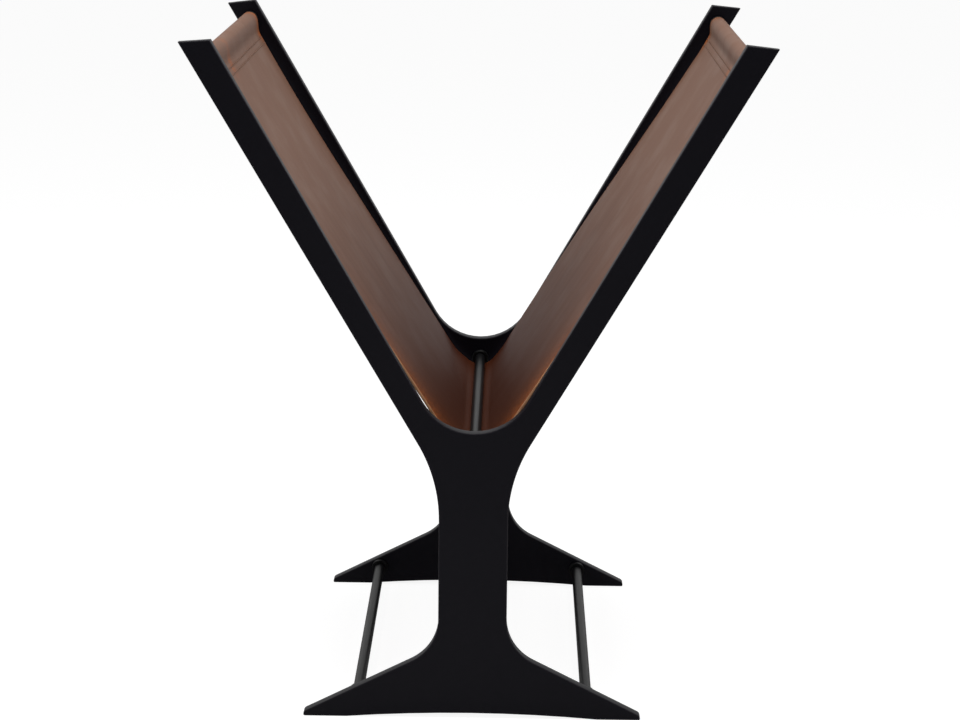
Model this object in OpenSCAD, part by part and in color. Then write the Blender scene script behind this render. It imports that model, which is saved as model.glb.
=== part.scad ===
// Magazine rack: a leather sling hung between two Y-shaped end plates.
// Five round tie rods join the plates. Each rod end sits in a blind socket behind a collar,
// and a grub screw in the underside of the collar holds the rod.
// X runs across the plates, Y from the front plate (-Y) to the back plate (+Y), Z up.
// The origin is on the floor, midway between the feet and between the plates.

/* [Overall] */
// Width across the outer top corners of the arms, before they are rounded
overall_w = 405; // [330:1:490]
// Height of those corners
arm_h = 480; // [390:1:580]
// Depth over both plates
overall_d = 306; // [220:1:400]

/* [Plates] */
// Thickness of each plate
plate_t = 9; // [7:0.5:14]
// Level width of an arm at its top end
arm_w = 22.3; // [18:0.1:30]
// Angle by which an arm's outer edge leans more than its inner edge
arm_taper = 0.6; // [0:0.1:2]
// Rise of an arm's top end from its outer to its inner corner
arm_top_rise = 2; // [0:0.5:6]
// Height of the lowest point between the arms
crotch_z = 210.5; // [170:0.5:250]
// Radius between the arms
crotch_r = 42; // [20:1:60]
// Width of the stem
stem_w = 48.6; // [40:0.1:70]
// Radius where an arm's outer edge meets the stem
shoulder_r = 110; // [20:1:120]
// Width across the tips of the feet
foot_w = 241; // [190:1:300]
// Height at which the slopes of the feet would meet the sides of the stem
ankle_z = 52; // [44:1:64]
// Radius between the stem and the slope of a foot
ankle_r = 35; // [10:1:40]
// Height of a foot's tip
foot_tip_h = 3.2; // [2.4:0.1:10]
// Radius on top of a foot's tip
foot_tip_r = 3; // [1:0.5:4]
// Length of the flat pad under each foot
pad_w = 30.5; // [16:0.5:50]
// Rise of the arch between the two pads
arch_h = 3.6; // [1:0.2:6]
// Radius on the top corners of the arms
corner_r = 0.5; // [0.2:0.1:4]

/* [Rods and collars] */
// Diameter of the tie rods
rod_d = 8; // [6:0.5:10]
// Drop of a top rod's axis below the arm's outer top corner
top_rod_drop = 13; // [11:0.5:30]
// Distance of a top rod's axis outwards from the middle of the arm
top_rod_shift = 1.4; // [-2:0.1:2]
// Drop of the keel rod's axis below the lowest point between the arms
keel_rod_drop = 15.6; // [12:0.1:40]
// Distance of a foot rod's axis inwards from the tip of the foot
foot_rod_inset = 38.7; // [36:0.1:60]
// Drop of a foot rod's axis below the slope of the foot
foot_rod_drop = 8.3; // [8:0.1:12]
// Depth to which a rod end enters the plate
socket_depth = 5; // [3:0.5:6]
// Outer diameter of the collars
collar_d = 13; // [12:0.1:16]
// Length of a collar along its rod
collar_t = 4.4; // [3.6:0.1:5]
// Chamfer on the rods and collars
edge_chamfer = 0.5; // [0.2:0.1:0.8]
// Diameter of the grub screws
screw_d = 2.5; // [2:0.1:2.6]
// Width across the flats of a grub screw's hexagon socket
hex_af = 1.27; // [0.9:0.01:1.3]
// Depth of that socket
hex_depth = 1.2; // [0.6:0.1:1.4]

/* [Sling] */
// Distance from each end of the leather to the plate beside it
sling_end_gap = 5; // [4.5:0.5:12]
// Thickness of the leather
leather_t = 2; // [1.2:0.1:3]
// Angle by which the leather leaves a top rod steeper than the straight line between the rods
top_pull = 4.7; // [0:0.1:8]
// The same angle where the leather leaves the bend under the keel rod
keel_pull = 0.9; // [0:0.1:4]
// Radius of the leather's upper face in the bend under the keel rod
keel_bend_r = 12; // [6:0.5:20]
// Distance from a top rod's axis to where the two layers of its sleeve come together
pinch_reach = 12.5; // [10:0.5:18]
// Distance from a top rod's axis to the end of the folded flap
flap_reach = 26; // [24:0.5:40]

/* [Fits] */
// Radial clearance of a rod in its collar and socket
rod_fit = 0.05; // [0.02:0.01:0.2]
// Clearance between the leather and the rods
leather_fit = 0.3; // [0.1:0.05:1]
// Radial clearance of a grub screw in its hole
screw_fit = 0.05; // [0.02:0.01:0.1]
// Gap that the sewing leaves between the two layers of a sleeve
layer_gap = 0.1; // [0.05:0.05:0.3]

/* [Hidden] */
ENDS = ["front", "back"];
ROD_NAMES = ["left_top", "right_top", "keel", "left_foot", "right_foot"];

PLATE_BLACK = "#17161a";
ROD_BLACK = "#2c2c2f";
SCREW_STEEL = "#6d6f73";
LEATHER_BROWN = "#7c6154";

clear_d = overall_d - 2 * plate_t;
rod_r = rod_d / 2;
socket_r = rod_r + rod_fit;
rod_length = clear_d + 2 * socket_depth;
bore_past = 1;   // how far a cut runs past the face it opens through
arc_steps = 16;  // straight steps in each rounded corner of an outline

// The inner edge of the right arm is the tangent from the arm's inner top corner to the
// circle between the arms; both edges are then given by a lean from the vertical.
inner_top = [overall_w / 2 - arm_w, arm_h + arm_top_rise];
outer_top = [overall_w / 2, arm_h];
crotch_centre = [0, crotch_z + crotch_r];
to_crotch = inner_top - crotch_centre;
inner_lean = atan2(to_crotch.x, to_crotch.y) - asin(crotch_r / norm(to_crotch));
outer_lean = inner_lean + arm_taper;
function inner_edge_x(z) = inner_top.x - (inner_top.y - z) * tan(inner_lean);
function outer_edge_x(z) = outer_top.x - (outer_top.y - z) * tan(outer_lean);

// The slope of a foot runs from its tip to the ankle height at the side of the stem.
foot_slope = (ankle_z - foot_tip_h) / (foot_w / 2 - stem_w / 2);
function foot_top_z(x) = foot_tip_h + (foot_w / 2 - x) * foot_slope;

// Rod axes, as [x, z], in the order of ROD_NAMES
top_rod_z = arm_h - top_rod_drop;
top_rod_x = (inner_edge_x(top_rod_z) + outer_edge_x(top_rod_z)) / 2 + top_rod_shift;
keel_rod_z = crotch_z - keel_rod_drop;
foot_rod_x = foot_w / 2 - foot_rod_inset;
foot_rod_z = foot_top_z(foot_rod_x) - foot_rod_drop;
ROD_AXES = [
    [-top_rod_x, top_rod_z],
    [top_rod_x, top_rod_z],
    [0, keel_rod_z],
    [-foot_rod_x, foot_rod_z],
    [foot_rod_x, foot_rod_z]
];

function unit(v) = v / norm(v);
function flip(points) = [for (i = [len(points) - 1 : -1 : 0]) [-points[i].x, points[i].y]];
function on_circle(r, angle) = r * [cos(angle), sin(angle)];

// One corner of an outline, as [x, z, r], replaced by an arc that touches both its sides
function rounded_corner(before, corner, after) =
    let (
        at = [corner.x, corner.y],
        back = unit([before.x, before.y] - at),
        ahead = unit([after.x, after.y] - at),
        half = acos(back * ahead) / 2,
        reach = corner.z / tan(half),
        centre = at + unit(back + ahead) * corner.z / sin(half),
        first = at + back * reach - centre,
        last = at + ahead * reach - centre,
        first_angle = atan2(first.y, first.x),
        turn = (atan2(last.y, last.x) - first_angle + 540) % 360 - 180
    )
    corner.z == 0 ? [at]
    : [for (i = [0 : arc_steps]) centre + on_circle(corner.z, first_angle + turn * i / arc_steps)];

function rounded(corners) =
    let (n = len(corners))
    [for (i = [0 : n - 1])
        each rounded_corner(corners[(i + n - 1) % n], corners[i], corners[(i + 1) % n])];

// Corners of the right half of a plate, from the floor up to the inner top corner
PLATE_HALF = [
    [foot_w / 2, 0, foot_tip_h / 5],
    [foot_w / 2, foot_tip_h, foot_tip_r],
    [stem_w / 2, ankle_z, ankle_r],
    [stem_w / 2, outer_top.y - (outer_top.x - stem_w / 2) / tan(outer_lean), shoulder_r],
    [outer_top.x, outer_top.y, corner_r],
    [inner_top.x, inner_top.y, corner_r]
];
PLATE_CROTCH = [0, inner_top.y - inner_top.x / tan(inner_lean), crotch_r];

module plate_outline() {
    left_half = [for (i = [len(PLATE_HALF) - 1 : -1 : 0])
        [-PLATE_HALF[i].x, PLATE_HALF[i].y, PLATE_HALF[i].z]];
    arch_half_w = foot_w / 2 - pad_w;
    arch_r = (arch_half_w ^ 2 + arch_h ^ 2) / (2 * arch_h);
    difference() {
        polygon(rounded(concat(PLATE_HALF, [PLATE_CROTCH], left_half)));
        translate([0, arch_h - arch_r]) circle(r = arch_r, $fn = 720);
    }
}

// Stands a drawing of X and Z upright, thick in Y, with its near face at y_near
module upright(y_near, thick) {
    translate([0, y_near + thick, 0]) rotate([90, 0, 0]) linear_extrude(thick) children();
}

module plate(y_near, socket_y) {
    color(PLATE_BLACK) difference() {
        upright(y_near, plate_t) plate_outline();
        for (axis = ROD_AXES)
            translate([axis.x, socket_y, axis.y]) rotate([90, 0, 0])
                cylinder(r = socket_r, h = socket_depth + bore_past, $fn = 64);
    }
}

module front_plate() {
    plate(-overall_d / 2, -clear_d / 2 + bore_past);
}

module back_plate() {
    plate(clear_d / 2, clear_d / 2 + socket_depth);
}

module tie_rod(axis) {
    half_l = rod_length / 2;
    chamfer_r = rod_r - edge_chamfer;
    color(ROD_BLACK) translate([axis.x, 0, axis.y]) rotate([90, 0, 0])
        rotate_extrude($fn = 64) polygon([
            [0, -half_l], [chamfer_r, -half_l], [rod_r, edge_chamfer - half_l],
            [rod_r, half_l - edge_chamfer], [chamfer_r, half_l], [0, half_l]
        ]);
}

// side is -1 at the front plate and 1 at the back plate
module collar(axis, side) {
    outer_r = collar_d / 2;
    color(ROD_BLACK) translate([axis.x, side * clear_d / 2, axis.y])
        rotate([side * 90, 0, 0]) difference() {
            rotate_extrude($fn = 64) polygon([
                [socket_r, 0], [outer_r, 0], [outer_r, collar_t - edge_chamfer],
                [outer_r - edge_chamfer, collar_t], [socket_r, collar_t]
            ]);
            translate([0, 0, collar_t / 2]) rotate([-side * 90, 0, 0])
                rotate([180, 0, 0]) cylinder(r = screw_d / 2 + screw_fit, h = collar_d, $fn = 32);
        }
}

module grub_screw(axis, side) {
    screw_y = side * (clear_d - collar_t) / 2;
    screw_l = collar_d / 2 - edge_chamfer - socket_r;
    color(SCREW_STEEL) translate([axis.x, screw_y, axis.y - socket_r - screw_l])
        difference() {
            cylinder(d = screw_d, h = screw_l, $fn = 32);
            translate([0, 0, -bore_past])
                cylinder(d = hex_af / cos(30), h = hex_depth + bore_past, $fn = 6);
        }
}

// The leather is one strip, drawn by its middle line. The line starts in the bend under the
// keel rod, runs up to the right top rod, goes round it and comes back as the outer flap.
straight_lean = atan2(top_rod_x, top_rod_z - keel_rod_z);
top_lean = straight_lean - top_pull;
keel_lean = straight_lean - keel_pull;
middle_bend_r = keel_bend_r + leather_t / 2;
loop_r = rod_r + leather_fit + leather_t / 2;
layer_offset = (leather_t + layer_gap) / 2;
bend_centre = [0, keel_rod_z - rod_r - leather_fit + keel_bend_r];
bend_steps = 6;
run_steps = 14;
loop_steps = 22;

bend_line = [for (i = [0 : bend_steps - 1])
    bend_centre + on_circle(middle_bend_r, -90 + (90 - keel_lean) * i / bend_steps)];

// A point of the sleeve: along the leather away from the rod's axis, and inwards from it
top_rod_axis = [top_rod_x, top_rod_z];
along = [-sin(top_lean), -cos(top_lean)];
inwards = [-cos(top_lean), sin(top_lean)];
function sleeve_point(p) = top_rod_axis + p.x * along + p.y * inwards;

// The run between them is a curve with a set direction at each end
run_start = bend_centre + on_circle(middle_bend_r, -keel_lean);
run_end = sleeve_point([flap_reach, layer_offset]);
run_handle = norm(run_end - run_start) / 3;
run_start_pull = run_start + run_handle * [sin(keel_lean), cos(keel_lean)];
run_end_pull = run_end + run_handle * along;
function run_point(u) =
    (1 - u) ^ 3 * run_start + 3 * (1 - u) ^ 2 * u * run_start_pull
    + 3 * (1 - u) * u ^ 2 * run_end_pull + u ^ 3 * run_end;
run_line = [for (i = [0 : run_steps]) run_point(i / run_steps)];

touch_angle = atan2(layer_offset, pinch_reach)
    + acos(loop_r / norm([pinch_reach, layer_offset]));
loop_line = [for (i = [0 : loop_steps])
    sleeve_point(on_circle(loop_r, touch_angle + (360 - 2 * touch_angle) * i / loop_steps))];
sleeve_line = concat(
    [sleeve_point([pinch_reach, layer_offset])],
    loop_line,
    [sleeve_point([pinch_reach, -layer_offset]), sleeve_point([flap_reach, -layer_offset])]
);

function beside(line, distance) = [for (i = [0 : len(line) - 1])
    let (
        ahead = line[min(i + 1, len(line) - 1)],
        back = line[max(i - 1, 0)],
        step = unit(ahead - back)
    )
    line[i] + distance * [-step.y, step.x]];

module leather_sling() {
    half_line = concat(bend_line, run_line, sleeve_line);
    other_half = flip([for (i = [1 : len(half_line) - 1]) half_line[i]]);
    strip = concat(other_half, half_line);
    upper = beside(strip, leather_t / 2);
    lower = beside(strip, -leather_t / 2);
    sling_w = clear_d - 2 * sling_end_gap;
    color(LEATHER_BROWN) upright(-sling_w / 2, sling_w)
        polygon(concat(upper, [for (i = [len(lower) - 1 : -1 : 0]) lower[i]]));
}

front_plate();
back_plate();
leather_sling();
for (i = [0 : len(ROD_NAMES) - 1]) {
    tie_rod(ROD_AXES[i]);
    for (end = [0 : len(ENDS) - 1]) {
        side = 2 * end - 1;
        piece = str(ENDS[end], "_", ROD_NAMES[i]);
        collar(ROD_AXES[i], side);
        grub_screw(ROD_AXES[i], side);
    }
}
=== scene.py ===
"""Magazine rack: a brown leather sling on tie rods between two black Y-shaped plates."""
import math

import bmesh
import bpy
from mathutils import Matrix, Vector


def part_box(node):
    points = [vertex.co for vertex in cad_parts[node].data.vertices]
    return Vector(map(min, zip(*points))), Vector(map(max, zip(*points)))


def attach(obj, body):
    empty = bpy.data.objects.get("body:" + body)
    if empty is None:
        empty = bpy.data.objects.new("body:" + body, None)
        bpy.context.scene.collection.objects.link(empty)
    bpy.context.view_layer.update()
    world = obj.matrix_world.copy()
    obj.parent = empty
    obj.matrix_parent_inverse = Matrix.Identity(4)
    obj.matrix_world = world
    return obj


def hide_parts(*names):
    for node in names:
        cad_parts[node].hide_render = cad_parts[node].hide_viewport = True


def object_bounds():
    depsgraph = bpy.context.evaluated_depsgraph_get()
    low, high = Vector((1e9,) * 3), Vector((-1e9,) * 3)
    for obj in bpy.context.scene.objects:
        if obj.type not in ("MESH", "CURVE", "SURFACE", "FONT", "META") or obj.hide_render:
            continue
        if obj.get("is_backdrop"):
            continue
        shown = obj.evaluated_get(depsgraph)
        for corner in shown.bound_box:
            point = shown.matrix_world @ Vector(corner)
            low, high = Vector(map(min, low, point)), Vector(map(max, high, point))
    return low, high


bl_info = {
    "name": "Magazine Rack",
    "version": (1, 0, 0),
    "blender": (4, 5, 0),
    "location": "View3D > Sidebar > Rack",
    "description": "Builds the visible pieces of a leather and steel magazine rack",
    "category": "Add Mesh",
}

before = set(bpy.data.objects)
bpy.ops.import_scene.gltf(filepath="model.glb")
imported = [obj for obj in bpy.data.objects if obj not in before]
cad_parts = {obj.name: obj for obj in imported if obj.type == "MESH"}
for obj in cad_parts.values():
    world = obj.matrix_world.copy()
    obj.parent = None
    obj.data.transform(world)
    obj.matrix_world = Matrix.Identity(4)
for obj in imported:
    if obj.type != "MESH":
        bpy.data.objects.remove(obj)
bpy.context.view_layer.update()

MM = 0.001
BODY = "root"
RODS = ("left_top_rod", "right_top_rod", "keel_rod", "left_foot_rod", "right_foot_rod")
PLATES = ("front_plate", "back_plate")
COLLARS = tuple(sorted(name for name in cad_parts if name.endswith("_collar")))
SCREWS = tuple(sorted(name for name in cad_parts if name.endswith("_screw")))


# --------------------------------------------------------------------------- settings


def linear(colour):
    """An sRGB hex colour as linear red, green, blue and alpha."""
    parts = [int(colour[i:i + 2], 16) / 255 for i in (1, 3, 5)]
    return (*[p / 12.92 if p <= 0.04045 else ((p + 0.055) / 1.055) ** 2.4 for p in parts], 1.0)


def length(name, description, millimetres):
    """A length property, with its default in millimetres."""
    return bpy.props.FloatProperty(
        name=name, description=description, default=millimetres * MM, subtype="DISTANCE",
        unit="LENGTH", precision=5)


def angle(name, description, degrees):
    """An angle property, with its default in degrees."""
    return bpy.props.FloatProperty(
        name=name, description=description, default=math.radians(degrees), subtype="ANGLE")


def colour(name, description, hex_colour):
    """A colour property, with its default as an sRGB hex colour."""
    return bpy.props.FloatVectorProperty(
        name=name, description=description, default=linear(hex_colour), size=4,
        min=0.0, max=1.0, subtype="COLOR")


def number(name, description, value):
    """A plain number property."""
    return bpy.props.FloatProperty(name=name, description=description, default=value)


class RackSlingSettings(bpy.types.PropertyGroup):
    """How the leather strip is cut, hung and coloured."""

    thickness: length("Thickness", "Thickness of the hide", 2)
    clearance: length("Clearance", "Space between the leather and a rod", 0.3)
    layer_gap: length("Layer gap", "Space the sewing leaves between a sleeve's layers", 0.1)
    top_pull: angle("Top pull", "How much steeper than straight it leaves a top rod", 4.7)
    keel_pull: angle("Keel pull", "How much steeper than straight it leaves the keel", 0.9)
    bend_radius: length("Bend radius", "Radius of the upper face under the keel rod", 12)
    flap_reach: length("Flap reach", "From a top rod's axis to the end of the flap", 26)
    upper_row: length("Upper row", "From a top rod's axis to the upper row of stitches", 16)
    right_tuck: length("Right tuck", "How much nearer its rod the right sleeve is sewn", 2.5)
    lower_row: length("Lower row", "From a top rod's axis to the lower row of stitches", 21)
    groove_depth: length("Groove depth", "How deep a row of stitches pulls the leather in", 0.2)
    groove_width: length("Groove width", "Half width of the dent along a row of stitches", 0.9)
    edge_radius: length("Edge radius", "Rounding on the cut edges", 0.5)
    wave_height: length("Wave height", "Height of the slow waves in the hanging leather", 0.7)
    curl: length("Curl", "How far the cut edges curl outwards half way down", 0.2)
    left_slack: length("Left slack", "How far the front edge strays forwards, lower left", 2.2)
    sag: length("Sag", "How far the front edge sags outwards just above the keel", 1.3)
    left_back_sag: length("Left back sag", "How far the left side's back edge sags", 4.5)
    right_back_sag: length("Right back sag", "How far the right side's back edge sags", 2.5)
    right_lift: length("Right lift", "How far the right side's back edge rides inwards", 3)
    right_slack: length("Right slack", "How far the front edge strays forwards, lower right", 4.6)
    dyed: colour("Dyed", "The dyed grain side", "#785644")
    streaked: colour("Streaked", "The darker streaks along the strip", "#54382b")
    rubbed: colour("Rubbed", "The paler, waxier patches", "#82685a")
    # Beside the cut edges this orange is rubbed tan; by the keel it is painted bounce light
    burnish_and_bounce_orange: colour("Burnished", "The orange tan rubbed out beside a cut edge", "#a2561f")
    # Painted shade: this dark brown is put where the V under the keel is in shade
    keel_shade_brown: colour("Creased", "The darker, oily brown where it bends under the keel", "#421b06")
    cut: colour("Cut edge", "The paler tan of a cut edge", "#b98a68")


class RackStitchSettings(bpy.types.PropertyGroup):
    """The sewing of the sleeves."""

    pitch: length("Pitch", "Distance from one stitch to the next", 4)
    stitch_length: length("Stitch length", "Length of the thread that shows", 3.1)
    thread: length("Thread", "Diameter of the thread", 0.7)
    slant: angle("Slant", "Turn of each stitch from the line of its row", 7)
    end_margin: length("End margin", "From the cut edge to the end of a row", 4)
    thread_colour: colour("Thread colour", "The waxed thread", "#765543")


class RackMetalSettings(bpy.types.PropertyGroup):
    """The finish of the plates, rods, collars and screws."""

    edge_radius: length("Edge radius", "Rounding on the edges of the plates", 1)
    coat: colour("Powder coat", "The plates' black powder coat", "#0b0911")
    coat_worn: colour("Worn coat", "The coat where the edges are rubbed", "#232026")
    lacquer: colour("Lacquer", "The rods' and collars' black lacquer", "#111112")
    steel: colour("Steel", "The screws' bare steel", "#8a8b8e")


class RackStageSettings(bpy.types.PropertyGroup):
    """The floor, the lamps and the camera."""

    floor: colour("Floor", "Colour of the floor", "#f2f2f2")
    floor_lift: number("Floor lift", "Light added to the floor the camera sees", 0.89)
    ambient: number("Ambient", "Strength of the even light from all round", 0.26)
    dark_end: number("Dark end", "How bright the open end of the studio is in reflections", 0.04)
    top_power: number("Top power", "Power of the overhead softbox, in watts", 23)
    left_power: number("Left power", "Power of the softbox on the left, in watts", 6)
    right_power: number("Right power", "Power of the softbox on the right, in watts", 3)
    lens: number("Lens", "Focal length of the camera, in millimetres", 91.5)


# --------------------------------------------------------------------- shared helpers


def add(tree, kind, inputs=(), **settings):
    """Adds a node, applies its settings and fills its inputs with values or links."""
    node = tree.nodes.new(kind)
    for name, value in settings.items():
        setattr(node, name, value)
    for key, value in dict(inputs).items():
        if isinstance(value, bpy.types.NodeSocket):
            tree.links.new(value, node.inputs[key])
        else:
            node.inputs[key].default_value = value
    return node


def new_material(name):
    """An empty material and its node tree."""
    material = bpy.data.materials.new(name)
    material.use_nodes = True
    material.node_tree.nodes.clear()
    return material, material.node_tree


def close_material(tree, shader):
    """Joins the shader to the material's output."""
    add(tree, "ShaderNodeOutputMaterial", {"Surface": shader.outputs[0]})


def new_piece(name, mesh, replaced=()):
    """Links a mesh as a piece that rides on the rack."""
    piece = bpy.data.objects.new(name, mesh)
    bpy.context.scene.collection.objects.link(piece)
    declare(piece, replaced)
    return piece


def declare(piece, replaced=()):
    """Tells the frame what a piece rides on and stands for."""
    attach(piece, BODY)
    if replaced:
        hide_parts(*replaced)


def mesh_from(name, vertices, faces):
    """A mesh with outward faces, shaded smooth."""
    mesh = bpy.data.meshes.new(name)
    mesh.from_pydata(vertices, [], faces)
    shape = bmesh.new()
    shape.from_mesh(mesh)
    bmesh.ops.recalc_face_normals(shape, faces=shape.faces)
    shape.to_mesh(mesh)
    shape.free()
    mesh.shade_smooth()
    return mesh


def set_point_values(mesh, name, values):
    """Stores one number per vertex as a named attribute."""
    mesh.attributes.new(name, "FLOAT", "POINT").data.foreach_set("value", values)


def new_node_tree(name, inputs):
    """A Geometry Nodes tree with named inputs, and its input node."""
    tree = bpy.data.node_groups.new(name, "GeometryNodeTree")
    tree.interface.new_socket("Geometry", in_out="OUTPUT", socket_type="NodeSocketGeometry")
    tree.interface.new_socket("Geometry", in_out="INPUT", socket_type="NodeSocketGeometry")
    for label, socket_type in inputs:
        tree.interface.new_socket(label, in_out="INPUT", socket_type=socket_type)
    return tree, add(tree, "NodeGroupInput")


def grow(name, base, tree, values):
    """Runs a Geometry Nodes tree on a base mesh and keeps the result as a plain object."""
    piece = bpy.data.objects.new(name, base)
    bpy.context.scene.collection.objects.link(piece)
    modifier = piece.modifiers.new(tree.name, "NODES")
    modifier.node_group = tree
    for item in tree.interface.items_tree:
        if item.in_out == "INPUT" and item.name in values:
            modifier[item.identifier] = values[item.name]
    depsgraph = bpy.context.evaluated_depsgraph_get()
    grown = bpy.data.meshes.new_from_object(piece.evaluated_get(depsgraph), depsgraph=depsgraph)
    piece.modifiers.clear()
    piece.data = grown
    return piece


def rod_at(name):
    """The middle of a rod and its radius, from its box."""
    low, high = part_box(name)
    return (low + high) / 2, (high.x - low.x) / 2


# -------------------------------------------------------------------------- materials


def powder_coat(settings):
    """Satin black powder coat, baked on steel plate.

    It gives the eye a deep, slightly blue black, a fine orange peel that breaks up the
    sheen, thin paler lines where the edges are handled, and a few specks of dust.
    """
    peel_mm, grain_mm, patch_mm, speck_mm = 2.4, 0.5, 60, 9
    material, tree = new_material("satin_black_powder_coat")
    place = add(tree, "ShaderNodeTexCoord").outputs["Object"]
    patches = add(tree, "ShaderNodeTexNoise", {"Vector": place, "Scale": 1 / (patch_mm * MM),
                                               "Detail": 3.0})
    peel = add(tree, "ShaderNodeTexNoise", {"Vector": place, "Scale": 1 / (peel_mm * MM),
                                            "Detail": 2.0})
    grain = add(tree, "ShaderNodeTexNoise", {"Vector": place, "Scale": 1 / (grain_mm * MM),
                                             "Detail": 2.0})
    worn = add(tree, "ShaderNodeAttribute", attribute_name="worn")
    rub = add(tree, "ShaderNodeMath", {0: worn.outputs["Fac"], 1: patches.outputs["Fac"]},
              operation="MULTIPLY")
    specks = add(tree, "ShaderNodeTexVoronoi", {"Vector": place,
                                                "Scale": 1 / (speck_mm * MM)})
    dust = add(tree, "ShaderNodeMapRange", {"Value": specks.outputs["Distance"],
                                            "From Min": 0.035, "From Max": 0.02})
    rare = add(tree, "ShaderNodeMath", {0: specks.outputs["Color"], 1: 0.97},
               operation="GREATER_THAN")
    fleck = add(tree, "ShaderNodeMath", {0: dust.outputs[0], 1: rare.outputs[0]},
                operation="MULTIPLY")
    light = add(tree, "ShaderNodeMath", {0: rub.outputs[0], 1: fleck.outputs[0]},
                operation="MAXIMUM")
    paint = add(tree, "ShaderNodeMix", {0: light.outputs[0], 6: settings.coat,
                                        7: settings.coat_worn}, data_type="RGBA")
    rough = add(tree, "ShaderNodeMapRange", {"Value": patches.outputs["Fac"],
                                             "To Min": 0.46, "To Max": 0.56})
    waves = add(tree, "ShaderNodeBump", {"Height": peel.outputs["Fac"], "Strength": 0.12,
                                         "Distance": 0.2 * MM})
    bumps = add(tree, "ShaderNodeBump", {"Height": grain.outputs["Fac"], "Strength": 0.1,
                                         "Distance": 0.05 * MM,
                                         "Normal": waves.outputs[0]})
    close_material(tree, add(tree, "ShaderNodeBsdfPrincipled", {
        "Base Color": paint.outputs[2], "Roughness": rough.outputs[0],
        "Normal": bumps.outputs[0], "IOR": 1.5, "Specular IOR Level": 0.14}))
    return material


def black_lacquer(settings):
    """Thin black lacquer, dipped over drawn steel bar.

    It is glossier and greyer than the plates, so a rod shows one narrow light line, with
    faint lines along it from the drawing of the bar.
    """
    line_mm, patch_mm = 0.6, 25
    material, tree = new_material("black_lacquered_bar")
    place = add(tree, "ShaderNodeTexCoord").outputs["Object"]
    drawn = add(tree, "ShaderNodeMapping", {"Vector": place, "Scale": (1.0, 0.02, 1.0)})
    lines = add(tree, "ShaderNodeTexNoise", {"Vector": drawn.outputs[0],
                                             "Scale": 1 / (line_mm * MM), "Detail": 2.0})
    patches = add(tree, "ShaderNodeTexNoise", {"Vector": place,
                                               "Scale": 1 / (patch_mm * MM)})
    shade = add(tree, "ShaderNodeMapRange", {"Value": patches.outputs["Fac"],
                                             "To Min": 0.8, "To Max": 1.25})
    paint = add(tree, "ShaderNodeVectorMath", {0: settings.lacquer[:3],
                                               "Scale": shade.outputs[0]},
                operation="SCALE")
    rough = add(tree, "ShaderNodeMapRange", {"Value": lines.outputs["Fac"],
                                             "To Min": 0.34, "To Max": 0.44})
    bumps = add(tree, "ShaderNodeBump", {"Height": lines.outputs["Fac"], "Strength": 0.08,
                                         "Distance": 0.1 * MM})
    close_material(tree, add(tree, "ShaderNodeBsdfPrincipled", {
        "Base Color": paint.outputs[0], "Roughness": rough.outputs[0],
        "Normal": bumps.outputs[0], "IOR": 1.5, "Specular IOR Level": 0.09}))
    return material


def machined_steel(settings):
    """Plain machined steel of the grub screws, with fine rings from the turning."""
    ring_mm = 0.15
    material, tree = new_material("machined_steel")
    place = add(tree, "ShaderNodeTexCoord").outputs["Object"]
    rings = add(tree, "ShaderNodeTexNoise", {"Vector": place, "Scale": 1 / (ring_mm * MM)})
    rough = add(tree, "ShaderNodeMapRange", {"Value": rings.outputs["Fac"],
                                             "To Min": 0.28, "To Max": 0.45})
    close_material(tree, add(tree, "ShaderNodeBsdfPrincipled", {
        "Base Color": settings.steel, "Metallic": 1.0, "Roughness": rough.outputs[0]}))
    return material


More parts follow.
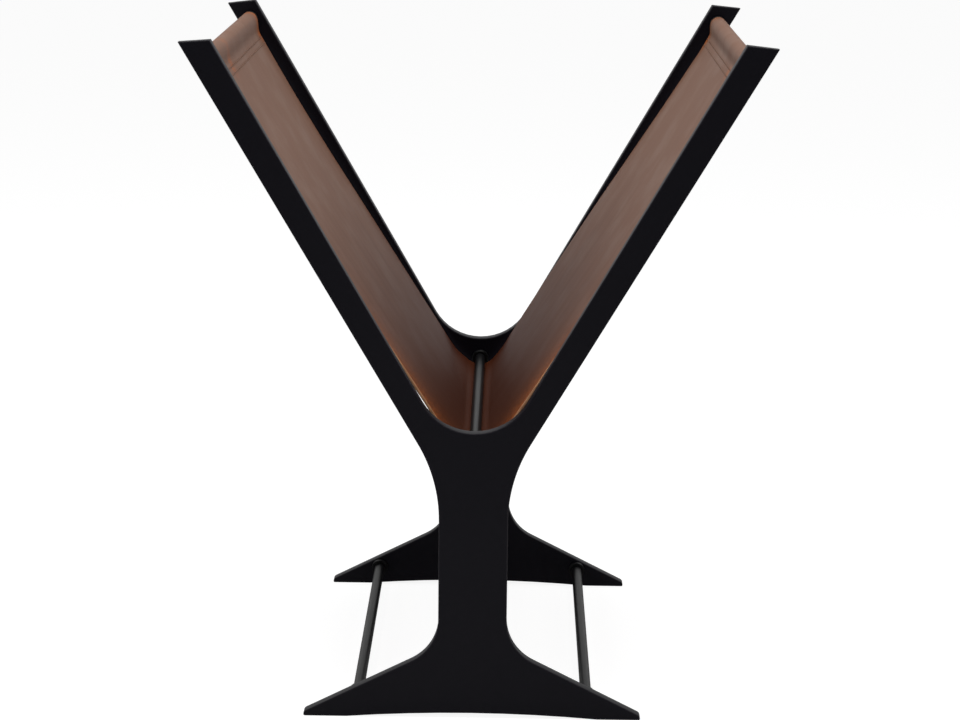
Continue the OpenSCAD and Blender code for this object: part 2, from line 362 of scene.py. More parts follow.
def saddle_leather(settings):
    """Vegetable-tanned saddle leather, dyed through and waxed, smooth side in.

    It gives the eye a soft, nearly matt brown with a greyish sheen at low angles, faint
    streaks along the strip from its stretching, fine pores, and paler tan cut edges.
    The pores are drawn about twice their real size, so that they show at all. Towards the keel it
    is painted darker as shade, and orange by the front edge as bounce light.
    """
    streak_mm, mottle_mm, pore_mm, crease_mm = 9, 45, 1.0, 3.5
    material, tree = new_material("waxed_saddle_leather")
    hide = add(tree, "ShaderNodeUVMap", uv_map="hide").outputs[0]
    stretched = add(tree, "ShaderNodeMapping", {"Vector": hide, "Scale": (1.0, 0.06, 1.0)})
    streaks = add(tree, "ShaderNodeTexNoise", {"Vector": stretched.outputs[0],
                                               "Scale": 1 / (streak_mm * MM),
                                               "Detail": 4.0, "Roughness": 0.6})
    mottle = add(tree, "ShaderNodeTexNoise", {"Vector": hide, "Scale": 1 / (mottle_mm * MM),
                                              "Detail": 4.0, "Roughness": 0.55})
    pores = add(tree, "ShaderNodeTexVoronoi", {"Vector": hide, "Scale": 1 / (pore_mm * MM)},
                feature="SMOOTH_F1")
    creases = add(tree, "ShaderNodeTexNoise", {"Vector": hide, "Scale": 1 / (crease_mm * MM),
                                               "Detail": 5.0, "Roughness": 0.65})
    cut = add(tree, "ShaderNodeAttribute", attribute_name="cut")
    # burnish_and_bounce: tan beside the cut edges, and painted bounce light by the keel
    beside = add(tree, "ShaderNodeAttribute", attribute_name="burnish_and_bounce")
    # Painted shade: keel_shade grows towards the keel, where the V is shaded
    keel_shade = add(tree, "ShaderNodeAttribute", attribute_name="keel_shade")

    streak = add(tree, "ShaderNodeMapRange", {"Value": streaks.outputs["Fac"],
                                              "From Min": 0.35, "From Max": 0.6,
                                              "To Min": 1.0, "To Max": 0.0})
    # Painted shade: the dark streaks grow stronger towards the keel
    lower = add(tree, "ShaderNodeMapRange", {"Value": keel_shade.outputs["Fac"], "To Min": 0.1,
                                             "To Max": 0.65})
    streak_and_shade = add(tree, "ShaderNodeMath", {0: streak.outputs[0], 1: lower.outputs[0]},
                      operation="MULTIPLY")
    rubbed = add(tree, "ShaderNodeMapRange", {"Value": mottle.outputs["Fac"],
                                              "From Min": 0.48, "From Max": 0.75,
                                              "To Max": 0.55})
    grain_side = add(tree, "ShaderNodeMix", {0: streak_and_shade.outputs[0], 6: settings.dyed,
                                             7: settings.streaked}, data_type="RGBA")
    waxed = add(tree, "ShaderNodeMix", {0: rubbed.outputs[0], 6: grain_side.outputs[2],
                                        7: settings.rubbed}, data_type="RGBA")
    uneven = add(tree, "ShaderNodeMapRange", {"Value": creases.outputs["Fac"],
                                              "From Min": 0.3, "From Max": 0.6})
    burnish_and_bounce = add(tree, "ShaderNodeMath", {0: beside.outputs["Fac"], 1: uneven.outputs[0]},
                  operation="MULTIPLY", use_clamp=True)
    # Painted shade: darker brown towards the keel
    keel_shaded = add(tree, "ShaderNodeMix", {0: keel_shade.outputs["Fac"], 6: waxed.outputs[2],
                                           7: settings.keel_shade_brown}, data_type="RGBA")
    # Real tan beside the cut edges, and painted bounce light by the keel
    warmed = add(tree, "ShaderNodeMix", {0: burnish_and_bounce.outputs[0], 6: keel_shaded.outputs[2],
                                         7: settings.burnish_and_bounce_orange}, data_type="RGBA")
    edged = add(tree, "ShaderNodeMix", {0: cut.outputs["Fac"], 6: warmed.outputs[2],
                                        7: settings.cut}, data_type="RGBA")
    rough = add(tree, "ShaderNodeMapRange", {"Value": mottle.outputs["Fac"],
                                             "To Min": 0.66, "To Max": 0.54})
    folds = add(tree, "ShaderNodeBump", {"Height": creases.outputs["Fac"], "Strength": 0.25,
                                         "Distance": 0.25 * MM})
    pitted = add(tree, "ShaderNodeBump", {"Height": pores.outputs["Distance"],
                                          "Strength": 0.2, "Distance": 0.12 * MM,
                                          "Normal": folds.outputs[0]})
    close_material(tree, add(tree, "ShaderNodeBsdfPrincipled", {
        "Base Color": edged.outputs[2], "Roughness": rough.outputs[0],
        "Normal": pitted.outputs[0], "IOR": 1.5, "Specular IOR Level": 0.14}))
    return material


def waxed_thread(settings):
    """Twisted and waxed linen thread: a dull brown with a fine slanting twist."""
    twist_mm = 0.5
    material, tree = new_material("waxed_linen_thread")
    place = add(tree, "ShaderNodeTexCoord").outputs["Object"]
    twist = add(tree, "ShaderNodeTexWave", {"Vector": place, "Scale": 0.3 / (twist_mm * MM),
                                            "Distortion": 1.0}, bands_direction="DIAGONAL")
    shade = add(tree, "ShaderNodeMapRange", {"Value": twist.outputs["Fac"],
                                             "To Min": 0.75, "To Max": 1.15})
    fibre = add(tree, "ShaderNodeVectorMath", {0: settings.thread_colour[:3],
                                               "Scale": shade.outputs[0]},
                operation="SCALE")
    close_material(tree, add(tree, "ShaderNodeBsdfPrincipled", {
        "Base Color": fibre.outputs[0], "Roughness": 0.6, "Specular IOR Level": 0.3}))
    return material


# ------------------------------------------------------------------------- end plates


def outline_of(node, y):
    """The outline of a node's flat face at y, as [x, z] points in order."""
    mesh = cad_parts[node].data
    near = 1e-6
    sides = {}
    for face in mesh.polygons:
        corners = [mesh.vertices[i].co for i in face.vertices]
        if any(abs(corner.y - y) > near for corner in corners):
            continue
        keys = [(round(corner.x, 6), round(corner.z, 6)) for corner in corners]
        for a, b in zip(keys, keys[1:] + keys[:1]):
            if sides.get(b) and a in sides[b]:
                sides[b].remove(a)
            else:
                sides.setdefault(a, []).append(b)
    start = max(key for key in sides if sides[key])
    loop, at = [start], sides[start][0]
    while at != start:
        loop.append(at)
        at = sides[at][0]
    return loop


def thinned(outline, shortest):
    """The outline without the points that crowd closer than the shortest side."""
    kept = [Vector(outline[0])]
    for point in map(Vector, outline[1:]):
        if (point - kept[-1]).length > shortest:
            kept.append(point)
    if (kept[-1] - kept[0]).length <= shortest:
        kept.pop()
    return kept


def inset_directions(outline):
    """For each point, the way inwards that moves both its sides in by one.

    A sharp corner is kept from reaching further in than its least share allows.
    """
    least_share = 0.35
    area = sum(a.x * b.y - b.x * a.y for a, b in zip(outline, outline[1:] + outline[:1]))
    turn = 1 if area > 0 else -1
    ways = []
    for i, point in enumerate(outline):
        before = (point - outline[i - 1]).normalized()
        after = (outline[(i + 1) % len(outline)] - point).normalized()
        normal_before = turn * Vector((-before.y, before.x))
        normal_after = turn * Vector((-after.y, after.x))
        middle = (normal_before + normal_after).normalized()
        ways.append(middle / max(middle.dot(normal_before), least_share))
    return ways


def rounded_slab(name, outline, y_low, y_high, radius):
    """An upright slab with this outline, whose two rims are rounded."""
    steps = 5
    ways = inset_directions(outline)
    quarter = [math.pi / 2 * k / steps for k in range(steps + 1)]
    rings = [(radius * (1 - math.sin(a)), y_low + radius * (1 - math.cos(a)), math.sin(2 * a))
             for a in quarter]
    rings += [(inset, y_low + y_high - y, worn) for inset, y, worn in reversed(rings)]
    vertices, worn_values = [], []
    for inset, y, worn in rings:
        for point, way in zip(outline, ways):
            at = point + way * inset
            vertices.append((at.x, y, at.y))
            worn_values.append(worn)
    n = len(outline)
    faces = [tuple(range(n)), tuple(range(len(vertices) - n, len(vertices)))]
    for ring in range(len(rings) - 1):
        for i in range(n):
            j = (i + 1) % n
            faces.append((ring * n + i, ring * n + j, (ring + 1) * n + j, (ring + 1) * n + i))
    mesh = mesh_from(name, vertices, faces)
    set_point_values(mesh, "worn", worn_values)
    for face in mesh.polygons:
        face.use_smooth = len(face.vertices) == 4
    return mesh


class RackPlates(bpy.types.Operator):
    """Builds the two end plates with rounded rims."""

    bl_idname = "rack.plates"
    bl_label = "End plates"

    def execute(self, context):
        settings = context.scene.rack_metal
        material = powder_coat(settings)
        shortest_side = 0.9 * MM
        for node in PLATES:
            low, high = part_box(node)
            outer_y = low.y if high.y < 0 else high.y
            outline = thinned(outline_of(node, outer_y), shortest_side)
            mesh = rounded_slab(node, outline, low.y, high.y, settings.edge_radius)
            mesh.materials.append(material)
            new_piece(f"{node}_coated", mesh, (node,))
        return {"FINISHED"}


# ------------------------------------------------------------ rods, collars and screws


def rod_tree():
    """Geometry Nodes: a round bar along each edge of the base mesh."""
    tree, given = new_node_tree("tie_rods", [
        ("Radius", "NodeSocketFloat"), ("Sides", "NodeSocketInt"),
        ("Finish", "NodeSocketMaterial")])
    lines = add(tree, "GeometryNodeMeshToCurve", {"Mesh": given.outputs["Geometry"]})
    section = add(tree, "GeometryNodeCurvePrimitiveCircle", {
        "Resolution": given.outputs["Sides"], "Radius": given.outputs["Radius"]})
    bars = add(tree, "GeometryNodeCurveToMesh", {
        "Curve": lines.outputs[0], "Profile Curve": section.outputs[0], "Fill Caps": True})
    real = add(tree, "GeometryNodeRealizeInstances", {0: bars.outputs[0]})
    finished = add(tree, "GeometryNodeSetMaterial", {
        "Geometry": real.outputs[0], "Material": given.outputs["Finish"]})
    add(tree, "NodeGroupOutput", {0: finished.outputs[0]})
    return tree


class RackRods(bpy.types.Operator):
    """Builds the five tie rods and finishes the collars and the grub screws."""

    bl_idname = "rack.rods"
    bl_label = "Rods, collars and screws"

    def execute(self, context):
        settings = context.scene.rack_metal
        sides = 48
        lacquer = black_lacquer(settings)
        ends, edges = [], []
        for name in RODS:
            middle, radius = rod_at(name)
            low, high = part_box(name)
            edges.append((len(ends), len(ends) + 1))
            ends += [(middle.x, low.y, middle.z), (middle.x, high.y, middle.z)]
        base = bpy.data.meshes.new("rod_lines")
        base.from_pydata(ends, edges, [])
        rods = grow("tie_rods", base, rod_tree(), {
            "Radius": radius, "Sides": sides, "Finish": lacquer})
        rods.data.shade_smooth()
        for face in rods.data.polygons:
            face.use_smooth = len(face.vertices) == 4
        declare(rods, RODS)
        steel = machined_steel(settings)
        for names, material in ((COLLARS, lacquer), (SCREWS, steel)):
            for name in names:
                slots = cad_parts[name].data.materials
                slots.clear()
                slots.append(material)
        return {"FINISHED"}


# ------------------------------------------------------------------------ leather sling


class SlingLine:
    """The middle line of the leather's right half, seen from the front, and its sleeve.

    Its samples are (point, groove depth, slack), from the middle of the bend under the
    keel rod to the end of the right flap. Slack is how freely the leather hangs there.
    Tuck is how much nearer its rod this sleeve is sewn.
    """

    bend_steps, run_steps, sewn_steps, neck_steps, loop_steps = 10, 70, 25, 12, 20
    neck_angle = math.radians(80)

    def __init__(self, settings, tuck=0):
        self.settings = settings
        self.rows = (settings.upper_row - tuck, settings.lower_row - tuck)
        self.sewn_from = self.rows[0] - 2 * settings.groove_width
        top, self.rod_radius = rod_at("right_top_rod")
        keel, _ = rod_at("keel_rod")
        self.top = Vector((top.x, top.z))
        straight = math.atan2(top.x - keel.x, top.z - keel.z)
        lean = straight - settings.top_pull
        self.keel_lean = straight - settings.keel_pull
        self.bend_turn = math.pi / 2 - self.keel_lean
        self.along = Vector((-math.sin(lean), -math.cos(lean)))
        self.inwards = Vector((-math.cos(lean), math.sin(lean)))
        self.layer = (settings.thickness + settings.layer_gap) / 2
        self.loop = self.rod_radius + settings.clearance + settings.thickness / 2
        under_keel = keel.z - self.rod_radius - settings.clearance
        self.bend_centre = Vector((0, under_keel + settings.bend_radius))
        self.samples = (self.bend() + self.run() + self.sewn(1) + self.neck(1)
                        + self.round_rod() + self.neck(-1) + self.sewn(-1))

    def at(self, reach, offset):
        """A point of the sleeve: down from the rod's axis, and inwards of it."""
        return self.top + self.along * reach + self.inwards * offset

    def on_bend(self, turned):
        """The point of the bend under the keel rod that is turned this far from its lowest."""
        radius = self.settings.bend_radius + self.settings.thickness / 2
        return self.bend_centre + radius * Vector((math.sin(turned), -math.cos(turned)))

    def bend(self):
        """Half of the bend under the keel rod, from its lowest point outwards."""
        angles = [self.bend_turn * i / self.bend_steps for i in range(self.bend_steps)]
        return [(self.on_bend(a), 0, 0) for a in angles]

    def run(self):
        """The hanging stretch from the bend up to the end of the flap."""
        start = self.on_bend(self.bend_turn)
        end = self.at(self.settings.flap_reach, self.layer)
        pull = (end - start).length / 3
        start_pull = start + pull * Vector((math.sin(self.keel_lean), math.cos(self.keel_lean)))
        end_pull = end + pull * self.along
        steps = [i / self.run_steps for i in range(self.run_steps)]
        return [(bezier(start, start_pull, end_pull, end, u), 0, math.sin(math.pi * u) ** 0.7)
                for u in steps]

    def groove(self, reach):
        """How deep the two rows of stitches pull the leather in, this far from the rod."""
        return self.settings.groove_depth * sum(
            math.exp(-((reach - row) / self.settings.groove_width) ** 2) for row in self.rows)

    def sewn(self, side):
        """The flat stretch through both rows of stitches; side 1 is the inner layer."""
        far, near = self.settings.flap_reach, self.sewn_from
        reaches = [far + (near - far) * i / self.sewn_steps for i in range(self.sewn_steps + 1)]
        if side < 0:
            reaches = reaches[::-1]
        return [(self.at(reach, side * self.layer), self.groove(reach), 0) for reach in reaches]

    def neck(self, side):
        """The smooth widening from the sewn stretch to the loop round the rod."""
        loop_at = self.loop * Vector((math.cos(self.neck_angle), math.sin(self.neck_angle)))
        leaving = Vector((math.sin(self.neck_angle), -math.cos(self.neck_angle)))
        sewn_at = Vector((self.sewn_from, self.layer))
        pull = (sewn_at - loop_at).length * 0.4
        curve = [bezier(sewn_at, sewn_at - Vector((pull, 0)), loop_at + leaving * pull, loop_at,
                        i / self.neck_steps) for i in range(1, self.neck_steps)]
        if side < 0:
            curve = curve[::-1]
        return [(self.at(p.x, side * p.y), 0, 0) for p in curve]

    def round_rod(self):
        """The loop over the top rod, from one neck to the other."""
        sweep = 2 * math.pi - 2 * self.neck_angle
        angles = [self.neck_angle + sweep * i / self.loop_steps for i in range(self.loop_steps + 1)]
        return [(self.at(self.loop * math.cos(a), self.loop * math.sin(a)), 0, 0)
                for a in angles]


def whole_strip(settings):
    """The samples of the whole strip, from the left flap to the right one."""
    left = [(Vector((-point.x, point.y)), groove, slack)
            for point, groove, slack in SlingLine(settings).samples[1:]]
    return left[::-1] + SlingLine(settings, settings.right_tuck).samples


def bezier(a, b, c, d, u):
    """A point of the cubic curve from a to d."""
    return (1 - u) ** 3 * a + 3 * (1 - u) ** 2 * u * b + 3 * (1 - u) * u * u * c + u ** 3 * d


def smooth(x):
    """Rises from 0 to 1 as x does, level at both ends."""
    x = min(max(x, 0), 1)
    return x * x * (3 - 2 * x)


def hanging_wave(s, y):
    """Slow, uneven waves over the strip, between about -1 and 1."""
    return (0.5 * math.sin(11 * s + 14 * y + 0.6) + 0.3 * math.sin(23 * s - 19 * y + 2.1)
            + 0.2 * math.sin(31 * y + 1.3))


def sling_mesh(settings, half_width):
    """The whole strip as one closed mesh, with its cut edges marked."""
    half, radius = settings.thickness / 2, settings.edge_radius
    across = 80
    samples = whole_strip(settings)
    points = [point for point, _, _ in samples]
    lengths = [0.0]
    for a, b in zip(points, points[1:]):
        lengths.append(lengths[-1] + (b - a).length)
    # The painted shade fades out this high above the keel
    lowest, keel_shade_height = points[len(points) // 2].y, 230 * MM
    sewn_height = max(point.y for point in points) - settings.flap_reach
    low_sag, back_sag_height = 80 * MM, 150 * MM
    rod, _ = rod_at("right_top_rod")
    # Each stain: its side, then in mm its distance from the rod, its y and its radius
    stains = ((-1, 14, -66, 8), (-1, 11, 134, 8), (1, 15, 134, 7), (1, 16, -68, 5))

    def edge_height(distance):
        """Half the leather's thickness at a distance in from a cut edge."""
        left = max(radius - distance, 0)
        return half - radius + math.sqrt(max(radius ** 2 - left ** 2, 0))

    # Steps in from a cut edge, closest together over its rounding
    rim = [0, 0.13 * radius, 0.5 * radius, radius, 2.4 * radius, 6 * radius]
    flat = half_width - rim[-1]
    ys = [-half_width + d for d in rim[:-1]]
    ys += [-flat + 2 * flat * i / across for i in range(across + 1)]
    ys += [half_width - d for d in reversed(rim[:-1])]
    ring = [(y, 1) for y in ys] + [(y, -1) for y in reversed(ys)]

    def burnish_and_bounce_at(margin, y, height, bend):
        """How much orange shows: tan beside the cut edges and more on a sleeve, and painted bounce
        light by the keel.
        """
        beside, sleeve, bounce_reach = 1.5 * MM, 7 * MM, 22 * MM
        sewn = smooth((height - sewn_height) / sleeve)
        keel_bounce = bend * smooth(-y / half_width)
        # The last term is painted bounce light: orange on the front side by the keel
        return (0.2 * math.exp(-(margin / beside) ** 2) + 0.22 * sewn * math.exp(-margin / sleeve)
                + 0.9 * keel_bounce * math.exp(-margin / bounce_reach))

    def stained(point, y):
        """How much orange shows in the few stains round the ends of the sleeves."""
        side = -1 if point.x < 0 else 1
        reach = (point - Vector((side * rod.x, rod.z))).length
        return sum(
            math.exp(-((reach - stain_reach * MM) ** 2 + (y - stain_y * MM) ** 2)
                     / (radius_mm * MM) ** 2)
            for stain_side, stain_reach, stain_y, radius_mm in stains if stain_side == side)

    def strayed(at):
        """How far the front edge lies forward of straight at this point of the strip."""
        height = (at.y - lowest) / (3 * settings.bend_radius)
        most = settings.left_slack if at.x < 0 else settings.right_slack
        return most * smooth(2 * height) * smooth(2.5 - height)

    def sagging(point, top):
        """How much of a sag shows at this point, for one that ends this far above the keel."""
        height = point.y - lowest
        return smooth(height / (1.5 * settings.bend_radius)) * (1 - smooth(height / top))

    vertices, cut, burnish_and_bounce, keel_shade, uvs = [], [], [], [], []
    for i, (point, groove, slack) in enumerate(samples):
        step = (points[min(i + 1, len(points) - 1)] - points[max(i - 1, 0)]).normalized()
        normal = Vector((-step.y, step.x))
        end = min(lengths[i], lengths[-1] - lengths[i])
        for y, side in ring:
            margin = half_width - abs(y)
            height = side * min(edge_height(margin), edge_height(end))
            if side > 0:
                height -= groove * min(margin / (2 * MM), 1)
            outwards = settings.curl * (abs(y) / half_width) ** 6
            height += slack * (settings.wave_height * hanging_wave(lengths[i], y) - outwards)
            height -= settings.sag * sagging(point, low_sag) * smooth(-y / half_width)
            back_sag = settings.left_back_sag if point.x < 0 else settings.right_back_sag
            height -= back_sag * sagging(point, back_sag_height) * smooth(y / half_width)
            if point.x > 0:
                height += slack * settings.right_lift * smooth(y / half_width)
            at = point + normal * height
            vertices.append((at.x, y - strayed(at) * smooth(-y / half_width), at.y))
            cut.append(1.0 if min(margin, end) < radius else 0.0)
            # Painted shade, strongest at the keel
            keel_shade.append((1 - smooth((point.y - lowest) / keel_shade_height)) ** 1.3)
            burnish_and_bounce.append(burnish_and_bounce_at(margin, y, point.y, keel_shade[-1]) + stained(point, y))
            uvs.append((y, lengths[i]))
    n = len(ring)
    faces = [tuple(range(n)), tuple(range(len(vertices) - n, len(vertices)))]
    for i in range(len(samples) - 1):
        for k in range(n):
            m = (k + 1) % n
            faces.append((i * n + k, i * n + m, (i + 1) * n + m, (i + 1) * n + k))
    mesh = mesh_from("sling", vertices, faces)
    set_point_values(mesh, "cut", cut)
    set_point_values(mesh, "burnish_and_bounce", burnish_and_bounce)
    set_point_values(mesh, "keel_shade", keel_shade)
    layer = mesh.uv_layers.new(name="hide")
    for loop in mesh.loops:
        layer.data[loop.index].uv = uvs[loop.vertex_index]
    return mesh, lengths[-1]


class RackSling(bpy.types.Operator):
    """Builds the leather sling, with a sewn sleeve round each top rod."""

    bl_idname = "rack.sling"
    bl_label = "Leather sling"

    def execute(self, context):
        settings = context.scene.rack_sling
        low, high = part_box("leather_sling")
        half_width = (high.y - low.y) / 2
        mesh, cut_length = sling_mesh(settings, half_width)
        mesh.materials.append(saddle_leather(settings))
        sling = new_piece("leather_sling_sewn", mesh, ("leather_sling",))
        return {"FINISHED"}


# ----------------------------------------------------------------------------- stitches


def stitch_tree():
    """Geometry Nodes: a slanting stitch of arched thread at every pitch along each row."""
    tree, given = new_node_tree("stitch_rows", [
        ("Pitch", "NodeSocketFloat"), ("Stitch length", "NodeSocketFloat"),
        ("Thread radius", "NodeSocketFloat"), ("Slant", "NodeSocketFloat"),
        ("Thread", "NodeSocketMaterial")])
    rows = add(tree, "GeometryNodeMeshToCurve", {"Mesh": given.outputs["Geometry"]})
    spaced = add(tree, "GeometryNodeResampleCurve", {
        "Curve": rows.outputs[0], "Length": given.outputs["Pitch"]}, mode="LENGTH")

    half = add(tree, "ShaderNodeMath", {0: given.outputs["Stitch length"], 1: 0.5},
               operation="MULTIPLY")
    back = add(tree, "ShaderNodeMath", {0: half.outputs[0], 1: -1.0}, operation="MULTIPLY")
    sunk = add(tree, "ShaderNodeMath", {0: given.outputs["Thread radius"], 1: -1.2},
               operation="MULTIPLY")
    raised = given.outputs["Thread radius"]
    corners = [add(tree, "ShaderNodeCombineXYZ", {"X": x.outputs[0], "Z": z})
               for x, z in ((back, sunk.outputs[0]), (back, raised), (half, raised),
                            (half, sunk.outputs[0]))]
    arch = add(tree, "GeometryNodeCurvePrimitiveBezierSegment", {
        "Resolution": 8, "Start": corners[0].outputs[0], "Start Handle": corners[1].outputs[0],
        "End Handle": corners[2].outputs[0], "End": corners[3].outputs[0]})
    section = add(tree, "GeometryNodeCurvePrimitiveCircle", {
        "Resolution": 6, "Radius": given.outputs["Thread radius"]})
    stitch = add(tree, "GeometryNodeCurveToMesh", {
        "Curve": arch.outputs[0], "Profile Curve": section.outputs[0], "Fill Caps": True})

    tangent = add(tree, "GeometryNodeInputTangent")
    lie_along = add(tree, "FunctionNodeAlignRotationToVector", {"Vector": tangent.outputs[0]},
                    axis="X")
    up = add(tree, "GeometryNodeInputNamedAttribute", {"Name": "up"}, data_type="FLOAT_VECTOR")
    face_out = add(tree, "FunctionNodeAlignRotationToVector", {
        "Rotation": lie_along.outputs[0], "Vector": up.outputs[0]}, axis="Z", pivot_axis="X")
    uneven = add(tree, "FunctionNodeRandomValue", {"Min": 0.7, "Max": 1.3, "Seed": 7})
    turn = add(tree, "ShaderNodeMath", {0: given.outputs["Slant"], 1: uneven.outputs[1]},
               operation="MULTIPLY")
    twist = add(tree, "ShaderNodeCombineXYZ", {"Z": turn.outputs[0]})
    slanted = add(tree, "FunctionNodeRotateRotation", {
        "Rotation": face_out.outputs[0], "Rotate By": twist.outputs[0]}, rotation_space="LOCAL")
    placed = add(tree, "GeometryNodeInstanceOnPoints", {
        "Points": spaced.outputs[0], "Instance": stitch.outputs[0],
        "Rotation": slanted.outputs[0]})
    real = add(tree, "GeometryNodeRealizeInstances", {0: placed.outputs[0]})
    threaded = add(tree, "GeometryNodeSetMaterial", {
        "Geometry": real.outputs[0], "Material": given.outputs["Thread"]})
    add(tree, "NodeGroupOutput", {0: threaded.outputs[0]})
    return tree


class RackStitches(bpy.types.Operator):
    """Sews two rows of stitches through each sleeve, on both its faces."""

    bl_idname = "rack.stitches"
    bl_label = "Stitches"

    def execute(self, context):
        settings, sling = context.scene.rack_stitches, context.scene.rack_sling
        low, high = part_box("leather_sling")
        proud = 0.35 * settings.thread
        offset_in = sling.thickness / 2 - sling.groove_depth + proud
        ends, edges, ups = [], [], []
        for mirror, tuck in ((-1, 0), (1, sling.right_tuck)):
            line = SlingLine(sling, tuck)
            for face in (-1, 1):
                for reach in line.rows:
                    at = line.at(reach, face * (line.layer + offset_in))
                    edges.append((len(ends), len(ends) + 1))
                    ends += [(mirror * at.x, low.y + settings.end_margin, at.y),
                             (mirror * at.x, high.y - settings.end_margin, at.y)]
                    ups += [mirror * face * line.inwards.x, 0.0, face * line.inwards.y] * 2
        base = bpy.data.meshes.new("stitch_lines")
        base.from_pydata(ends, edges, [])
        base.attributes.new("up", "FLOAT_VECTOR", "POINT").data.foreach_set("vector", ups)
        stitches = grow("sleeve_stitches", base, stitch_tree(), {
            "Pitch": settings.pitch, "Stitch length": settings.stitch_length,
            "Thread radius": settings.thread / 2, "Slant": settings.slant,
            "Thread": waxed_thread(settings)})
        stitches.data.shade_smooth()
        declare(stitches)
        return {"FINISHED"}


# -------------------------------------------------------------------------------- stage


def plain_floor(settings):
    """Plain pale paper. What the camera sees of it is lifted to white where it is unshaded."""
    shade_kept = 0.3
    material, tree = new_material("pale_floor")
    paper = add(tree, "ShaderNodeBsdfDiffuse", {"Color": settings.floor})
    dimmed = add(tree, "ShaderNodeMixShader", {0: shade_kept, 2: paper.outputs[0]})
    glow = add(tree, "ShaderNodeEmission", {"Strength": settings.floor_lift})
    both = add(tree, "ShaderNodeAddShader", {0: dimmed.outputs[0], 1: glow.outputs[0]})
    ray = add(tree, "ShaderNodeLightPath")
    close_material(tree, add(tree, "ShaderNodeMixShader", {
        0: ray.outputs["Is Camera Ray"], 1: paper.outputs[0], 2: both.outputs[0]}))
    return material


def white_world(settings):
    """Even grey light, and a white background to the camera and in reflections.

    Reflections find it white behind the rack and dark in front, where the studio is open.
    """
    world = bpy.data.worlds.new("white_studio")
    world.use_nodes = True
    tree = world.node_tree
    tree.nodes.clear()
    direction = add(tree, "ShaderNodeTexCoord").outputs["Generated"]
    towards = add(tree, "ShaderNodeSeparateXYZ", {0: direction})
    studio = add(tree, "ShaderNodeMapRange", {
        "Value": towards.outputs["Y"], "From Min": -0.3, "From Max": 0.5,
        "To Min": settings.dark_end, "To Max": 1.0})
    white = (1.0, 1.0, 1.0, 1.0)
    light = add(tree, "ShaderNodeBackground", {"Color": white, "Strength": settings.ambient})
    mirrored = add(tree, "ShaderNodeBackground", {"Color": white,
                                                  "Strength": studio.outputs[0]})
    seen = add(tree, "ShaderNodeBackground", {"Color": white, "Strength": 1.0})
    ray = add(tree, "ShaderNodeLightPath")
    straight = add(tree, "ShaderNodeMath", {0: ray.outputs["Is Camera Ray"],
                                            1: ray.outputs["Is Transmission Ray"]},
                   operation="MAXIMUM")
    glossy = add(tree, "ShaderNodeMixShader", {
        0: ray.outputs["Is Glossy Ray"], 1: light.outputs[0], 2: mirrored.outputs[0]})
    mixed = add(tree, "ShaderNodeMixShader", {
        0: straight.outputs[0], 1: glossy.outputs[0], 2: seen.outputs[0]})
    add(tree, "ShaderNodeOutputWorld", {"Surface": mixed.outputs[0]})
    bpy.context.scene.world = world


def softbox(name, place, aim, size, power):
    """A square area lamp that looks at a point."""
    lamp = bpy.data.lights.new(name, "AREA")
    lamp.shape, lamp.size, lamp.energy = "SQUARE", size, power
    stand = bpy.data.objects.new(name, lamp)
    stand.location = place
    stand.rotation_euler = (Vector(aim) - Vector(place)).to_track_quat("-Z", "Y").to_euler()
    bpy.context.scene.collection.objects.link(stand)


def add_camera(lens):
    """The camera: a little above the arms, looking slightly down and nearly straight on."""
    place = Vector((0.0239, -1.791, 0.656))
    yaw, pitch, roll = math.radians(0.713), math.radians(13.47), math.radians(0.585)
    level_right = Vector((math.cos(yaw), math.sin(yaw), 0))
    level_ahead = Vector((-math.sin(yaw), math.cos(yaw), 0))
    ahead = math.cos(pitch) * level_ahead - math.sin(pitch) * Vector((0, 0, 1))
    above = math.sin(pitch) * level_ahead + math.cos(pitch) * Vector((0, 0, 1))
    right = math.cos(roll) * level_right + math.sin(roll) * above
    up = -math.sin(roll) * level_right + math.cos(roll) * above
    camera = bpy.data.objects.new("camera", bpy.data.cameras.new("camera"))
    camera.data.lens = lens
    turned = Matrix((right, up, -ahead)).transposed().to_4x4()
    camera.matrix_world = Matrix.Translation(place) @ turned
    bpy.context.scene.collection.objects.link(camera)
    bpy.context.scene.camera = camera


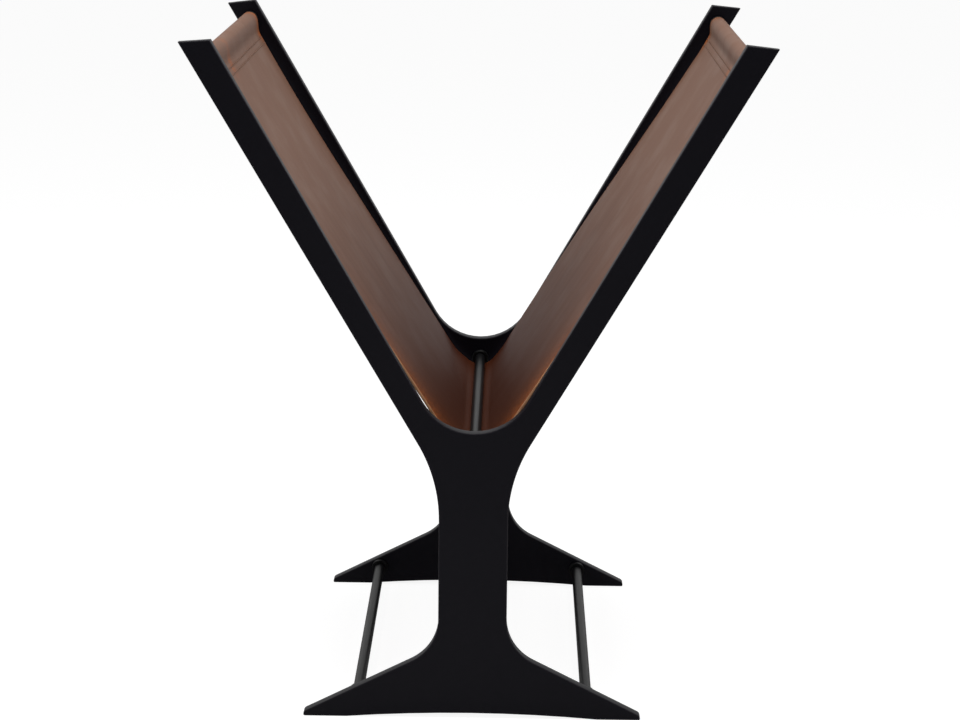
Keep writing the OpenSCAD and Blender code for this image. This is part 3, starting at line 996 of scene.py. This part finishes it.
class RackStage(bpy.types.Operator):
    """Sets up the floor, the lamps, the background and the camera."""

    bl_idname = "rack.stage"
    bl_label = "Stage"

    def execute(self, context):
        settings = context.scene.rack_stage
        reach = 6.0
        corners = [(-reach, -reach, 0), (reach, -reach, 0), (reach, reach, 0), (-reach, reach, 0)]
        mesh = bpy.data.meshes.new("floor")
        mesh.from_pydata(corners, [], [(0, 1, 2, 3)])
        mesh.materials.append(plain_floor(settings))
        floor = bpy.data.objects.new("floor", mesh)
        context.scene.collection.objects.link(floor)
        floor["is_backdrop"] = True
        white_world(settings)
        low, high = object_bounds()
        aim = (low + high) / 2
        softbox("top_softbox", (0, -0.2, 1.9), aim, 1.4, settings.top_power)
        softbox("left_softbox", (-1.6, -0.9, 1.1), aim, 0.9, settings.left_power)
        softbox("right_softbox", (1.6, -0.5, 1.2), aim, 0.9, settings.right_power)
        add_camera(settings.lens)
        context.scene.view_settings.view_transform = "Standard"
        return {"FINISHED"}


# --------------------------------------------------------------------- panel and set-up


class RackPanel(bpy.types.Panel):
    """Lists the rack's pieces and their settings."""

    bl_idname = "VIEW3D_PT_magazine_rack"
    bl_label = "Magazine rack"
    bl_space_type = "VIEW_3D"
    bl_region_type = "UI"
    bl_category = "Rack"

    def draw(self, context):
        for operator in OPERATORS:
            self.layout.operator(operator.bl_idname)
        for name, group in SETTINGS.items():
            box = self.layout.box()
            for key in group.__annotations__:
                box.prop(getattr(context.scene, name), key)


SETTINGS = {
    "rack_sling": RackSlingSettings,
    "rack_stitches": RackStitchSettings,
    "rack_metal": RackMetalSettings,
    "rack_stage": RackStageSettings,
}
OPERATORS = (RackPlates, RackRods, RackSling, RackStitches, RackStage)


def register():
    for group in SETTINGS.values():
        bpy.utils.register_class(group)
    for name, group in SETTINGS.items():
        setattr(bpy.types.Scene, name, bpy.props.PointerProperty(type=group))
    for operator in OPERATORS:
        bpy.utils.register_class(operator)
    bpy.utils.register_class(RackPanel)


def unregister():
    bpy.utils.unregister_class(RackPanel)
    for operator in reversed(OPERATORS):
        bpy.utils.unregister_class(operator)
    for name, group in SETTINGS.items():
        delattr(bpy.types.Scene, name)
        bpy.utils.unregister_class(group)


def main():
    register()
    bpy.ops.rack.stage()
    bpy.ops.rack.plates()
    bpy.ops.rack.rods()
    bpy.ops.rack.sling()
    bpy.ops.rack.stitches()


if __name__ == "__main__":
    main()
